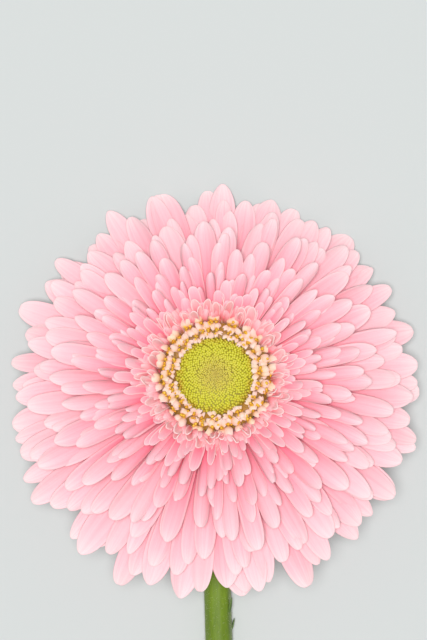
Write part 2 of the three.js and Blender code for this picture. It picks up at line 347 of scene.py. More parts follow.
# The leaf's rings: how far along, half its width, how far it stands off, and its thickness
SCALE_RINGS = (
    (-0.1, 0.5, -0.7, 0.5), (0.1, 0.75, -0.1, 0.5), (0.3, 0.85, 0.25, 0.45), (0.5, 0.8, 0.45, 0.4),
    (0.7, 0.6, 0.6, 0.35), (0.88, 0.3, 0.75, 0.25), (1.0, 0.06, 0.85, 0.1),
)
SCALE_SIDES = 8


def scale_points(foot, turn, length):
    away = Vector((cos(radians(turn)), 0, sin(radians(turn))))
    side = Vector((0, 1, 0)).cross(away)
    points = []
    for along, half, proud, thick in SCALE_RINGS:
        middle, radius = stem_middle((foot + along * length) * MM)
        for i in range(SCALE_SIDES):
            a = 2 * pi * i / SCALE_SIDES
            bow = 0.35 * half * (cos(a) ** 2)
            points.append(
                middle
                + away * (radius + (proud - bow + thick * sin(a) / 2) * MM)
                + side * half * cos(a) * MM
            )
    return points


points, faces = [], []
for foot, turn, length in STEM_SCALES:
    faces += [tuple(reversed(f)) for f in closed_tube(len(SCALE_RINGS), SCALE_SIDES, len(points))]
    points += scale_points(foot, turn, length)
scales = piece_from("stem_scales", points, faces, scale_green)
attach(scales, "root")


# The down on the scape
# Short soft hairs that stand all over the stalk and catch the light along its edges. They grow
# from the skin and lean every way.

def geometry_tree(name, inputs):
    """An empty geometry tree with a geometry in and out, a material and these named inputs."""
    inputs = {"Geometry": "Geometry", **inputs, "Material": "Material"}
    return new_group(name, "GeometryNodeTree", inputs, {"Geometry": "Geometry"})


def finish_tree(tree, given, out, instances):
    """Ends a tree: its instances become a plain mesh of one material."""
    plain = result(tree, "GeometryNodeRealizeInstances", {"Geometry": instances})
    wires = {"Geometry": plain, "Material": given["Material"]}
    feed(out, {0: result(tree, "GeometryNodeSetMaterial", wires)})
    return tree


def grown(base, name, tree, settings):
    """Runs a geometry tree on a base mesh and keeps the result as a plain mesh piece."""
    grower = base.modifiers.new(tree.name, "NODES")
    grower.node_group = tree
    sockets = {item.name: item.identifier for item in tree.interface.items_tree if item.in_out == "INPUT"}
    for label, value in settings.items():
        grower[sockets[label]] = value
    depsgraph = bpy.context.evaluated_depsgraph_get()
    mesh = bpy.data.meshes.new_from_object(
        base.evaluated_get(depsgraph), preserve_all_data_layers=True, depsgraph=depsgraph
    )
    mesh.name = name
    base.modifiers.remove(grower)
    return placed(name, mesh)


def upright_to(tree, direction):
    """The turn that points an upright instance this way."""
    return result(tree, "FunctionNodeAlignRotationToVector", {"Vector": direction}, axis="Z")


def number_between(tree, low, high, seed):
    """A chance number for every point."""
    return Wire(node(tree, "FunctionNodeRandomValue", {2: low, 3: high, "Seed": seed}).outputs[1])


def down_tree():
    """Leaning hairs of chance lengths, strewn evenly over the base mesh."""
    tree, given, out = geometry_tree("Down", {
        "Hairs per square metre": 1e6, "Hair length": 0.8 * MM, "Hair radius": 0.03 * MM, "Seed": 3,
    })
    spots = results(tree, "GeometryNodeDistributePointsOnFaces", {
        "Mesh": given["Geometry"], "Density": given["Hairs per square metre"], "Seed": given["Seed"],
    })
    hair = result(tree, "GeometryNodeMeshCone", {
        "Vertices": 3, "Radius Bottom": given["Hair radius"], "Radius Top": 0.0,
        "Depth": given["Hair length"],
    }, fill_type="NGON")
    stray = result(tree, "FunctionNodeRandomValue", {
        0: (-0.8, -0.8, -0.8), 1: (0.8, 0.8, 0.8), "Seed": given["Seed"],
    }, data_type="FLOAT_VECTOR")
    lean = result(tree, "ShaderNodeVectorMath", {0: spots["Normal"], 1: stray}, operation="ADD")
    hairs = result(tree, "GeometryNodeInstanceOnPoints", {
        "Points": spots["Points"], "Instance": hair, "Rotation": upright_to(tree, lean),
        "Scale": number_between(tree, 0.5, 1.25, given["Seed"]),
    })
    return finish_tree(tree, given, out, hairs)


down = down_tree()
hair_pale = plant_material("Pale down", "DCE3BE", "C2CE98", 0.5 * MM, 0.0, 0.0)


def make_down(on, name, per_square_mm, length, seed, material=hair_pale, radius=0.02 * MM):
    hairs = grown(on, name, down, {
        "Hairs per square metre": per_square_mm * 1e6,
        "Hair length": length,
        "Hair radius": radius,
        "Seed": seed,
        "Material": material,
    })
    # The hairs that would poke through the table are pressed onto it.
    for vertex in hairs.data.vertices:
        vertex.co.z = max(vertex.co.z, 0.0)
    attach(hairs, "root")


make_down(stem, "stem_down", 1.1, 0.75 * MM, 4)


# The cup of bracts
# A green bowl under the head, covered in rows of narrow pointed bracts that overlap like tiles.
# It is the swollen end of the stalk, and the bracts grow from it.

CUP_RADIUS = 15.6 * MM
BOWL_TOP = -0.35 * MM
BOWL_STEPS = 16
TURNED_SIDES = 48

bowl_green = plant_material("Bowl green", "4F6A24", "344C16", 0.35 * MM, 0.6, 0.08)
bract_green = plant_material("Bract green", "7A9640", "547226", 0.35 * MM, 0.6, 0.08)


def told(tree, name):
    """What a blade was told about itself, or how far across or along it a point lies."""
    if tree.type == "SHADER":
        return results(tree, "ShaderNodeAttribute", attribute_name=name, attribute_type="GEOMETRY")["Fac"]
    return result(tree, "GeometryNodeInputNamedAttribute", {"Name": name}, data_type="FLOAT")


# A bract's green runs into brown at its margins and its point
tree = bract_green.node_tree
surface = tree.nodes["Principled BSDF"]
green = Wire(surface.inputs["Base Color"].links[0].from_socket)
outer = reckon("MAXIMUM", reckon("ABSOLUTE", told(tree, "across")), told(tree, "along"))
share = spread(outer, 0.7, 1.0, 0.0, 0.75)
feed(surface, {"Base Color": blend_colours(tree, share, green, linear("4A4A22"))})


def cup_radius(z):
    up = min(max((z + CUP_DEPTH) / CUP_DEPTH, 0), 1)
    neck = NECK_RADIUS + 0.4 * MM
    return neck + (CUP_RADIUS - neck) * sin(pi / 2 * up) ** 0.8


def turned_points(profile):
    """Rings of points about the head's axis, from (radius, height) pairs."""
    points = []
    for r, z in profile:
        for i in range(TURNED_SIDES):
            turn = 2 * pi * i / TURNED_SIDES
            points.append(at_head((r * cos(turn), r * sin(turn), z)))
    return points


def turned_piece(name, profile, material):
    """A piece turned about the head's axis, closed at both ends."""
    return piece_from(name, turned_points(profile), closed_tube(len(profile), TURNED_SIDES), material)


heights = [-CUP_DEPTH * (1 - k / BOWL_STEPS) for k in range(BOWL_STEPS + 1)]
profile = [(0.3 * MM, -CUP_DEPTH)] + [(cup_radius(z), min(z, BOWL_TOP)) for z in heights]
bowl = turned_piece("cup_bowl", profile + [(12 * MM, BOWL_TOP)], bowl_green)
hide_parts("involucre")
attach(bowl, "root")


def sine(angle):
    return reckon("SINE", angle)


def cosine(angle):
    return reckon("COSINE", angle)


def vector(x, y, z):
    return result(x.socket.id_data, "ShaderNodeCombineXYZ", {"X": x, "Y": y, "Z": z})


def parts_of(place):
    """The x, y and z of a vector."""
    return list(results(place.socket.id_data, "ShaderNodeSeparateXYZ", {0: place}).values())


def own_place(tree):
    return parts_of(result(tree, "GeometryNodeInputPosition"))


def noted(tree, geometry, name, value):
    """Writes a number onto every point of a geometry, under a name that materials can read."""
    return result(tree, "GeometryNodeStoreNamedAttribute", {
        "Geometry": geometry, "Name": name, "Value": value,
    }, data_type="FLOAT", domain="POINT")


def leant(given, x, y, h):
    """Turns a place or a direction on the upright head the way the head leans."""
    lean = given["Head lean"]
    return x, y * cosine(lean) + h * sine(lean), h * cosine(lean) - y * sine(lean)


def head_to_table(given, x, y, h):
    """Carries a place on the upright head to where the head lies, as at_head does."""
    return (part + home for part, home in zip(leant(given, x, y, h), parts_of(given["Head place"])))


# What each blade is told about itself. Angles are in radians, lengths in metres.
BLADE_FACTS = (
    "azimuth", "root_out", "root_up", "start_slope", "end_slope", "length", "width", "roll", "twist",
    "sweep", "curl", "crease", "keel", "lift", "ripple", "notch", "stalk", "aside", "shade",
    "inward", "point",
)


def flat_sheets(tree, given):
    """One flat sheet for each root, whose points note how far across and along it they lie."""
    grid = result(tree, "GeometryNodeMeshGrid", {
        "Size X": 2.0, "Size Y": 1.0, "Vertices X": given["Columns"], "Vertices Y": given["Rows"],
    })
    across, evenly, _ = own_place(tree)
    evenly = evenly + 0.5
    along = 1.0 - reckon("MAXIMUM", 1.0 - evenly, 0.0) ** 1.75  # the rows stand closer towards the tip
    sheet = noted(tree, grid, "across", across)
    sheet = noted(tree, sheet, "along", along)
    set_out = result(tree, "GeometryNodeInstanceOnPoints", {"Points": given["Geometry"], "Instance": sheet})
    return result(tree, "GeometryNodeRealizeInstances", {"Geometry": set_out})


def blade_half_width(given, fact):
    """The outline: narrow at the root, widest well out, and closing to a rounded point."""
    along = fact("along")
    widest = given["Widest at"]
    rise = reckon("MINIMUM", along / widest, 1.0)
    fall = reckon("MAXIMUM", (along - widest) / (1.0 - widest), 0.0)
    root = given["Root share"]
    body = root + (1.0 - root) * sine(rise * (pi / 2)) ** given["Fullness"]
    sharp = given["Tip sharpness"] + fact("point")
    share = body * (1.0 - 0.985 * fall ** given["Tip bluntness"]) ** sharp
    return fact("width") * share * 0.5


def blade_section(fact, half):
    """The section: an arc whose edges curl up or down, with creases along it and a rippled edge."""
    across, along, curl = fact("across"), fact("along"), fact("curl")
    sideways = half * sine(across * curl) / curl
    proud = half * (1.0 - cosine(across * curl)) / curl
    proud = proud - half * fact("crease") * cosine(across * (3 * pi)) * (1.0 - along ** 3.0)
    proud = proud + half * fact("ripple") * across * sine(along * 6.5 + fact("azimuth") * 7.0)
    proud = proud + half * fact("keel") * reckon("ABSOLUTE", across)
    return sideways, proud


def blade_line(given, fact):
    """The line from root to tip: a straight stalk, then an arc of steadily changing slope."""
    across, along = fact("across"), fact("along")
    start, length = fact("start_slope"), fact("length")
    turn = fact("end_slope") - start
    stalk = given["Stalk share"]
    risen = fact("stalk") * (reckon("MINIMUM", along / (stalk + 0.0001), 1.0) - 1.0)
    bent = reckon("MAXIMUM", along - stalk, 0.0) / (1.0 - stalk)
    reached = bent - fact("notch") * cosine(across * pi) * bent ** 6.0
    slope = start + turn * reached
    outwards = fact("root_out") + length * (sine(slope) - sine(start)) / turn + risen * cosine(start)
    upwards = fact("root_up") - length * (cosine(slope) - cosine(start)) / turn + risen * sine(start)
    return slope, outwards, upwards


def blade_tree():
    """Bracts, petals, lips and anthers: each point of the base becomes one blade of that shape."""
    tree, given, out = geometry_tree("Blades", {
        "Columns": 7, "Rows": 11, "Root share": 0.2, "Fullness": 1.0, "Widest at": 0.7, "Tip sharpness": 0.6,
        "Tip bluntness": 2.0, "Stalk share": 0.0, "Head lean": HEAD_LEAN, "Head place": tuple(head_place),
        "Lowest": 0.5 * MM,
    })

    def fact(name):
        return told(tree, name)

    sheets = flat_sheets(tree, given)
    sideways, proud = blade_section(fact, blade_half_width(given, fact))
    slope, outwards, upwards = blade_line(given, fact)
    along, aside, azimuth = fact("along"), fact("aside"), fact("azimuth")

    # The section is set across the line, rolled and swept
    roll = fact("roll") + fact("twist") * along
    over = proud * cosine(roll) + sideways * sine(roll) + fact("lift") * along ** 4.0
    side = sideways * cosine(roll) - proud * sine(roll) + fact("sweep") * along ** 2.0
    ahead = outwards - fact("root_out") - sine(slope) * over
    h = upwards + cosine(slope) * over

    # The blade is turned about its root, and then about the head
    r = fact("root_out") + ahead * cosine(aside) - side * sine(aside)
    side = ahead * sine(aside) + side * cosine(aside)
    x = r * cosine(azimuth) - side * sine(azimuth)
    y = r * sine(azimuth) + side * cosine(azimuth)
    x, y, h = head_to_table(given, x, y, h)
    h = reckon("SMOOTH_MAX", h, given["Lowest"], 0.6 * MM)
    bent = result(tree, "GeometryNodeSetPosition", {"Geometry": sheets, "Position": vector(x, y, h)})
    return finish_tree(tree, given, out, result(tree, "GeometryNodeSetShadeSmooth", {"Geometry": bent}))


blades = blade_tree()


def draw(index, purpose):
    """A draw from -1 to 1 that is always the same for one floret and one purpose."""
    x = sin(index * 12.9898 + purpose * 78.233) * 43758.5453
    return 2 * (x - floor(x)) - 1


def make_blades(name, facts, shape, material, thickness):
    """One piece of many blades, from what each one is told."""
    facts = list(facts)
    mesh = bpy.data.meshes.new(name + "_roots")
    mesh.from_pydata([(0, 0, 0)] * len(facts), [], [])
    for fact in BLADE_FACTS:
        values = mesh.attributes.new(fact, "FLOAT", "POINT")
        values.data.foreach_set("value", [blade.get(fact, 0.0) for blade in facts])
    roots = placed(name + "_roots", mesh)
    made = grown(roots, name, blades, {**shape, "Material": material})
    bpy.data.objects.remove(roots)
    solid = made.modifiers.new("Thickness", "SOLIDIFY")
    solid.thickness = thickness
    solid.offset = -1
    round_off = made.modifiers.new("Rounding", "SUBSURF")
    round_off.levels = round_off.render_levels = 1
    return made


# The rows of bracts, from the neck up: how many, from what height to what height, how wide
BRACT_ROWS = ((11, -13.5, -7.6, 3.6), (17, -11.2, -4.4, 4.4), (21, -8.4, -1.7, 4.6), (25, -5.4, 0.9, 4.3))


def cup_slope(z):
    """How steeply the side of the bowl rises at this height, as an angle from level."""
    step = 0.2 * MM
    return atan2(2 * step, cup_radius(z + step) - cup_radius(z - step))


def bract_facts():
    """What each bract is told: it follows the bowl's side and stands off it towards its tip."""
    for row, (count, bottom, top, width) in enumerate(BRACT_ROWS):
        for k in range(count):
            low, high = bottom * MM, (top + 0.7 * draw(k, 9)) * MM
            yield dict(
                azimuth=2 * pi * (k + row / 2 + 0.16 * draw(k, 10)) / count,
                root_out=cup_radius(low) + 0.2 * MM,
                root_up=low,
                start_slope=cup_slope(low) - 0.04,
                end_slope=cup_slope(min(high, -0.3 * MM)) - 0.16 + 0.1 * draw(k, 11),
                length=hypot(cup_radius(high) - cup_radius(low), high - low) * 1.04,
                width=width * (1 + 0.1 * draw(k, 12)) * MM,
                curl=0.16,
                keel=0.04,
                crease=0.05,
                roll=0.1 + 0.07 * draw(k, 13),
                shade=draw(k, 14),
            )


# A bract's upper face is turned to the bowl, so what shows is its ribbed back.
bracts = make_blades("cup_bracts", bract_facts(), {
    "Columns": 5, "Rows": 6, "Root share": 0.5, "Widest at": 0.42, "Tip sharpness": 1.0, "Tip bluntness": 1.7,
}, bract_green, 0.35 * MM)
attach(bracts, "root")

make_down(bowl, "cup_down", 1.6, 0.9 * MM, 8)


# The receptacle
# The fleshy pad inside the head that every floret stands on. It is the stalk's flattened end, pink
# where the petals grow from its side, and golden brown on top as painted shade among the florets' feet.

# The crown's golden brown is painted shade among the florets' feet.
crown_painted_shade_gold = plant_material("Receptacle crown", "B8842C", "8C5C18", 0.5 * MM, 0.3, 0.2)
receptacle_pink = plant_material("Receptacle side", "EC97A0", "D0707E", 0.5 * MM, 0.3, 0.2)

# Its turned outline in millimetres: out along the foot and up the side, then in over the crown
PAD_SIDE = ((0.3, 0.0), (14.2, 0.0), (14.6, 1.0), (14.4, 4.0), (14.4, 7.6))
PAD_CROWN = ((15.2, 8.4), (15.0, 9.2), (13.0, 9.9), (11.2, 9.9), (10.6, 9.4), (0.3, 8.8))

pad = turned_piece("receptacle", [(r * MM, z * MM) for r, z in PAD_SIDE + PAD_CROWN], crown_painted_shade_gold)
pad.data.materials.append(receptacle_pink)
for face in pad.data.polygons[:(len(PAD_SIDE) - 1) * TURNED_SIDES]:
    face.material_index = 1
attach(pad, "root")


# The ray florets
# The petals: strap-shaped and soft, widest near the tip, each growing from its own place on one
# spiral. The outermost are long and pale and lie back, the inner ones short, deep pink and cupped.

GOLDEN_ANGLE = pi * (3 - sqrt(5))
RAY_COUNT = 240
SQUEEZED_WIDTH = 0.84
LEAST_CURL = 0.08  # the arc of a petal's section can't be quite flat
LOWEST_TIP = 0.8 * MM

# The three layers' values, from the outside in. Lengths are in millimetres, slopes, roll and twist
# in degrees, stray and curl in radians. Reach, root_up, start, end and curl run from a layer's first
# petal to its last. A narrower petal is squeezed in after each of the places named out of every
# five; its reach is a usual share of the others' reach and how much that share varies.
RAY_LAYERS = {
    "piece": ("outer_petals", "middle_petals", "inner_petals"),
    "node": ("outer_rays", "middle_rays", "inner_rays"),
    "slot": ("outer_petal", "middle_petal", "inner_petal"),
    "first": (0, 72, 154),
    "count": (72, 82, 86),
    "squeezed": ((0, 1, 2, 3, 4), (0, 2, 4), (0, 1, 2, 3, 4)),
    "squeezed reach": ((1.0, 0.0), (0.94, 0.06), (0.94, 0.06)),
    "reach": ((58, 47), (47, 31.5), (31.5, 20)),
    "reach bend": (1.3, 1, 1),
    "longer low": (0.035, 0.045, 0.085),
    "root_out": (13.4, 14.0, 14.1),
    "root_up": ((0.7, 1.7), (3.25, 4.05), (6.0, 7.0)),
    "start": ((-4, 10), (16, 30), (40, 53)),
    "end": ((-22, -8), (-4, 8), (17, 33)),
    "raised": (0, 0, 5),
    "stray": (0.04, 0.06, 0.08),
    "roll": (6, 9, 12),
    "twist": (16, 20, 28),
    "sweep": (1.8, 1.2, 0.6),
    "curl": ((-0.15, -0.4), (-0.6, -0.95), (-1.1, 0.4)),
    "curl chance": (0.3, 0.3, 0.9),
    "keel": (0.12, 0.1, 0.0),
    "crease": (0.1, 0.08, 0.05),
    "lift": (1.6, 1.2, 0.7),
    "ripple": (0.16, 0.1, 0.06),
    "point": (0.0, 0.03, 0.02),
}
RAY_SHAPES = {
    "Columns": (7, 7, 7),
    "Rows": (12, 11, 8),
    "Root share": (0.2, 0.3, 0.4),
    "Fullness": (0.9, 0.75, 0.7),
    "Widest at": (0.78, 0.82, 0.84),
    "Tip sharpness": (0.5, 0.5, 0.5),
    "Tip bluntness": (2.3, 2.1, 2.1),
}


def vein_group():
    """Fine lengthwise veins of a petal, from its own across and along measures."""
    tree, given, out = new_group(
        "Petal veins", "ShaderNodeTree", {"Veins across": 9.0, "Waviness": 1.5},
        {"Veins": "Float", "Folds": "Float", "Blush": "Float"},
    )
    across = told(tree, "across")
    where = vector(
        across * given["Veins across"],
        told(tree, "along") * given["Waviness"],
        told(tree, "azimuth") * 3.7,
    )
    feed(out, {
        "Veins": noise(tree, where, 1.0, 2.5, 0.6),
        "Folds": cosine(across * (3 * pi)),
        "Blush": noise(tree, object_place(tree), 120.0, 2.0),
    })
    return tree


petal_veins = vein_group()


def ramp(tree, factor, stops):
    """A run of colours along a factor from 0 to 1."""
    made = node(tree, "ShaderNodeValToRGB", {0: factor})
    elements = made.color_ramp.elements
    while len(elements) < len(stops):
        elements.new(0.5)
    for element, (place, colour) in zip(elements, stops):
        element.position = place
        element.color = linear(colour)
    return Wire(made.outputs[0])


def petal_material(name, outer_stops, inner_stops, vein_and_groove_shade_colour, vein_and_groove_shade_share, rim_share):
    """Colours from root to tip, deeper at the root partly as the blades' own colour and partly as painted
    shade where they crowd, with veins, painted shade in the grooves, a pale rim and a paler tint on some
    petals.
    """
    material, tree, surface = new_material(name)
    along, inward = told(tree, "along"), told(tree, "inward")
    skin = results(tree, "ShaderNodeGroup", node_tree=petal_veins)
    edge = spread(reckon("ABSOLUTE", told(tree, "across")), 0.64, 0.96, 0.0, rim_share)
    # Deeper towards the root: partly the blades' own colour, partly painted shade where they crowd and
    # overlap.
    colour = blend_colours(tree, inward, ramp(tree, along, outer_stops), ramp(tree, along, inner_stops))
    # The veins are the blades' own colour; the darker tint along the grooves is painted shade in the creases.
    for share, tint in (
        (spread(skin["Veins"], 0.42, 0.7, 0.0, vein_and_groove_shade_share), vein_and_groove_shade_colour),
        (spread(skin["Folds"], 1.0, 0.4, 0.5 * vein_and_groove_shade_share, 0.0), vein_and_groove_shade_colour),
        (edge * (inward * 1.6 + 0.15), "FFDCDA"),
        (spread(told(tree, "shade"), -0.6, 1.0, 0.0, 0.34), "FFD6DA"),
    ):
        colour = blend_colours(tree, share, colour, linear(tint))
    feed(surface, {
        "Base Color": colour,
        "Roughness": spread(skin["Blush"], 0.0, 1.0, 0.48, 0.66),
        "Normal": relief(tree, skin["Veins"], 0.35, 0.12 * MM),
        "Specular IOR Level": 0.3,
        "Subsurface Weight": 0.12,
        "Subsurface Radius": (1.0, 0.5, 0.5),
        "Subsurface Scale": 1.0 * MM,
        "Sheen Weight": 0.15,
        "Sheen Roughness": 0.5,
    })
    return material


# The deep pink at the roots is partly the petals' own colour and partly painted shade between the overlapping
# petals.
petal_pink = petal_material(
    "Petal pink",
    [(0.0, "FA5873"), (0.42, "FB7F96"), (0.7, "FBADB9"), (0.88, "FBC6CE"), (1.0, "FBDFE0")],
    [(0.0, "F84663"), (0.4, "FA6A84"), (0.7, "FB95A7"), (0.88, "FBADBB"), (1.0, "FBC7D0")],
    "FA6582", 0.16, 0.42,
)


def mix(a, b, share):
    return a + (b - a) * share


def ray_facts(layer, index):
    """What the ray floret of this number is told; the spiral is numbered from the outermost in.

    Half numbers are the florets that squeeze in between the others.
    """
    f = index / (RAY_COUNT - 1)
    g = min((index - layer["first"]) / (layer["count"] - 1), 1)
    squeezed = index % 1 > 0

    def chance(name, purpose):
        return layer[name] * draw(index, purpose)

    azimuth = index * GOLDEN_ANGLE + chance("stray", 71)
    reach = mix(*layer["reach"], g ** layer["reach bend"])
    reach *= 1 - layer["longer low"] * sin(azimuth)  # those nearest the stalk grow longest
    tip = reach * (1 + 0.035 * draw(index, 5))
    if squeezed:
        usual, varied = layer["squeezed reach"]
        tip *= usual + varied * draw(index, 25)
    start = radians(mix(*layer["start"], g) + draw(index, 1))
    end = mix(*layer["end"], g) + layer["raised"] * sin(azimuth) + 1.5 * draw(index, 2)
    end = radians(end)
    length = (tip - layer["root_out"]) * (end - start) / (sin(end) - sin(start))
    width = (9.4 - 12.3 * f + 5.3 * f * f) * (1 + 0.17 * draw(index, 14))
    curl = mix(*layer["curl"], g) + chance("curl chance", 16)
    return rested(dict(
        azimuth=azimuth,
        root_out=layer["root_out"] * MM,
        root_up=mix(*layer["root_up"], g) * MM,
        start_slope=start,
        end_slope=end,
        length=length * MM,
        width=width * (SQUEEZED_WIDTH if squeezed else 1) * MM,
        roll=radians(chance("roll", 3)),
        twist=radians(chance("twist", 15)),
        sweep=chance("sweep", 4) * MM,
        curl=LEAST_CURL if abs(curl) < LEAST_CURL else curl,
        keel=chance("keel", 21),
        crease=layer["crease"] * (1 + 0.7 * draw(index, 17)),
        lift=chance("lift", 18) * MM,
        ripple=layer["ripple"] * (0.5 + 0.5 * draw(index, 19)),
        shade=draw(index, 20),
        inward=f,
        point=layer["point"] + 0.14 * draw(index, 24),
    ))


def tip_height(blade):
    """How high a blade's tip lies over the table."""
    start, end = blade["start_slope"], blade["end_slope"]
    bow = blade["length"] / (end - start)
    out = blade["root_out"] + bow * (sin(end) - sin(start))
    up = blade["root_up"] - bow * (cos(end) - cos(start))
    return at_head((out * cos(blade["azimuth"]), out * sin(blade["azimuth"]), up)).z


def rested(blade):
    """Bends a petal that would dip under the table up until it rests on it."""
    while tip_height(blade) < LOWEST_TIP:
        blade["start_slope"] += radians(0.02)
        blade["end_slope"] += radians(0.06)
    return blade


def make_florets(name, node_name, slot, facts, shape, material, thickness):
    """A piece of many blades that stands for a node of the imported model."""
    made = make_blades(name, facts, shape, material, thickness)
    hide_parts(node_name)
    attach(made, "root")


for n in range(len(RAY_LAYERS["piece"])):
    layer, shape = (
        {name: values[n] for name, values in table.items()} for table in (RAY_LAYERS, RAY_SHAPES)
    )
    whole = range(layer["first"], layer["first"] + layer["count"])
    numbers = list(whole) + [i + 0.5 for i in whole if i % 5 in layer["squeezed"]]
    make_florets(
        layer["piece"], layer["node"], layer["slot"], [ray_facts(layer, number) for number in numbers],
        shape, petal_pink, 0.22 * MM,
    )


# The open disc florets
# A frill of tiny two-lipped flowers round the middle: broad cream outer lips that roll outwards,
# thin inner lips that roll in, and between them golden tubes of anthers dusted with pollen.

# The lips' roots run dark golden brown: partly the florets' own golden base, partly painted shade deep among
# them.
cream = petal_material(
    "Floret cream",
    [(0.0, "A46814"), (0.36, "DCA636"), (0.58, "F3D0AA"), (1.0, "F6DECC")],
    [(0.0, "A46814"), (0.36, "DA9E3A"), (0.58, "F3C3A8"), (1.0, "F7D4C9")],
    "EFA383", 0.12, 0.42,
)


# Clouded gold with fine round grains
anther_gold, tree, surface = new_material("Anther gold")
place = object_place(tree)
grains = result(tree, "ShaderNodeTexVoronoi", {"Vector": place, "Scale": 5500.0})
clouds = noise(tree, place, 900.0, 2.0)
feed(surface, {
    "Base Color": ramp(tree, clouds, [(0.3, "D48E1C"), (0.5, "EBB12C"), (0.7, "F5CE52")]),
    "Normal": relief(tree, grains, 0.6, 0.08 * MM),
    "Roughness": 0.75,
    "Subsurface Weight": 0.15,
    "Subsurface Scale": 0.4 * MM,
})

# The two rings of florets: how many, how far out in millimetres, and the first number of their draws
INNER_FLORETS = (34, 12.1, 50)
OUTER_FLORETS = (38, 14.5, 130)


def open_florets(count, ring, purpose):
    """The florets of a ring: each one's number, azimuth, distance out and height."""
    for k in range(count):
        azimuth = 2 * pi * (k + 0.36 * draw(k, purpose)) / count
        height = 10.6 - 0.25 * (ring - 12) + 0.45 * draw(k, purpose + 2)
        yield k, azimuth, ring + 0.5 * draw(k, purpose + 1), height


# Each floret has one broad lip that arches outwards like a hood and two narrow ones that curl over
# the middle: how far round from outwards it points, how far from the tube it starts, its length,
# its width, the slope its tip ends at and how strongly it is arched across.
LIPS = (
    (0.0, 0.3, 3.0, 2.5, -58, -1.1), (0.8, -0.3, 2.2, 1.5, -46, -0.8), (1.2, -0.3, 2.2, 1.5, -46, -0.8),
)


def lobe_facts(count, ring, purpose, size):
    """The lips of a ring of open florets, no two alike."""
    for k, azimuth, out, up in open_florets(count, ring, purpose):
        grown_by = size * (1 + 0.22 * draw(k, purpose + 3))
        for lip, (aside, off, length, width, end, arch) in enumerate(LIPS):
            n = k * len(LIPS) + lip
            yield dict(
                azimuth=azimuth,
                root_out=(out + off) * MM,
                root_up=(up + 0.25 * draw(n, purpose + 16)) * MM,
                stalk=(up - 8.6) * MM,
                aside=pi * (aside + 0.14 * draw(k, purpose + 4) + 0.08 * draw(n, purpose + 5)),
                start_slope=radians(84 + 6 * draw(n, purpose + 6)),
                end_slope=radians(end + 28 * draw(n, purpose + 7)),
                length=length * grown_by * (1 + 0.16 * draw(n, purpose + 8)) * MM,
                width=width * grown_by * (1 + 0.14 * draw(n, purpose + 9)) * MM,
                roll=radians(14 * draw(n, purpose + 10)),
                twist=radians(38 * draw(n, purpose + 11)),
                curl=arch + 0.5 * draw(n, purpose + 12),
                crease=0.12,
                ripple=0.4 * draw(n, purpose + 13),
                notch=0.12 + 0.08 * draw(n, purpose + 17),
                shade=draw(n, purpose + 14),
                inward=0.5 + 0.5 * draw(k, purpose + 15),
            )


for name, node_name, ring, size, thickness in (
    ("inner_floret_lobes", "inner_lips", INNER_FLORETS, 0.92, 0.35 * MM),
    ("outer_floret_lobes", "outer_lips", OUTER_FLORETS, 1.0, 0.4 * MM),
):
    make_florets(name, node_name, "cream_floret", lobe_facts(*ring, size), {
        "Columns": 6, "Rows": 7, "Root share": 0.5, "Fullness": 0.8, "Widest at": 0.74,
        "Tip sharpness": 0.28, "Tip bluntness": 3.0, "Stalk share": 0.2,
    }, cream, thickness)


def anther_facts(count, ring, purpose):
    """One anther tube for each open floret, standing a little proud of its lobes."""
    for k, azimuth, out, up in open_florets(count, ring, purpose):
        yield dict(
            azimuth=azimuth,
            root_out=out * MM,
            root_up=(up - 0.3) * MM,
            stalk=1.4 * MM,
            aside=pi * draw(k, purpose + 20),
            start_slope=radians(89),
            end_slope=radians(66 + 14 * draw(k, purpose + 21)),
            length=(1.9 + 0.4 * draw(k, purpose + 22)) * MM,
            width=2.6 * MM,
            curl=0.93 * pi,
            crease=0.04,
            shade=draw(k, purpose + 23),
        )


both_rings = [*anther_facts(*INNER_FLORETS), *anther_facts(*OUTER_FLORETS)]
make_florets("anther_tubes", "anthers", "anther", both_rings, {
    "Columns": 7, "Rows": 6, "Root share": 0.8, "Widest at": 0.75, "Tip sharpness": 0.5, "Stalk share": 0.2,
}, anther_gold, 0.12 * MM)


# The pappus
# Fine golden bristles that stand round the foot of every floret on the receptacle. They fill the
# brown depths between the cream lips.

bristle_gold = plant_material("Bristle gold", "DDAE62", "B07A2C", 0.5 * MM, 0.0, 0.0)

# The turned strip that the bristles grow from, out from the disc's edge, in millimetres
PAPPUS_GROUND = ((10.9, 9.8), (13.0, 9.8), (15.0, 9.2), (16.2, 8.4))

points = turned_points([(r * MM, z * MM) for r, z in PAPPUS_GROUND])
faces = [tuple(reversed(f)) for f in tube_faces(len(PAPPUS_GROUND), TURNED_SIDES)]
ground = piece_from("pappus_ground", points, faces, bristle_gold)
make_down(ground, "pappus", 7.0, 2.1 * MM, 12, bristle_gold, 0.045 * MM)
bpy.data.objects.remove(ground)


# The pollen
# Sticky golden grains that clump on the tips of the anthers and crumble onto the lobes around them.

CLUMPS_PER_FLORET = 4
CLUMP_SIDES = 5

# A clump's rings of points: how far down from its top in degrees, and how many points
CLUMP_RINGS = ((0, 1), (50, CLUMP_SIDES), (100, CLUMP_SIDES), (150, CLUMP_SIDES), (180, 1))


def pollen_spots():
    """Each clump's place on the upright head and its size, in millimetres."""
    for count, ring, purpose in (INNER_FLORETS, OUTER_FLORETS):
        for k, azimuth, out, up in open_florets(count, ring, purpose):
            for clump in range(CLUMPS_PER_FLORET):
                # The first two sit on the anthers' tip, and the others fall about it
                strewn, height = (0.25, 1.75) if clump < 2 else (1.1, 0.9)
                n = purpose * 40 + k * CLUMPS_PER_FLORET + clump
                r = out + strewn * draw(n, 1)
                a = azimuth + strewn * draw(n, 2) / r
                z = up + height + 0.25 * draw(n, 3)
                yield r * cos(a), r * sin(a), z, 0.42 + 0.1 * draw(n, 4)


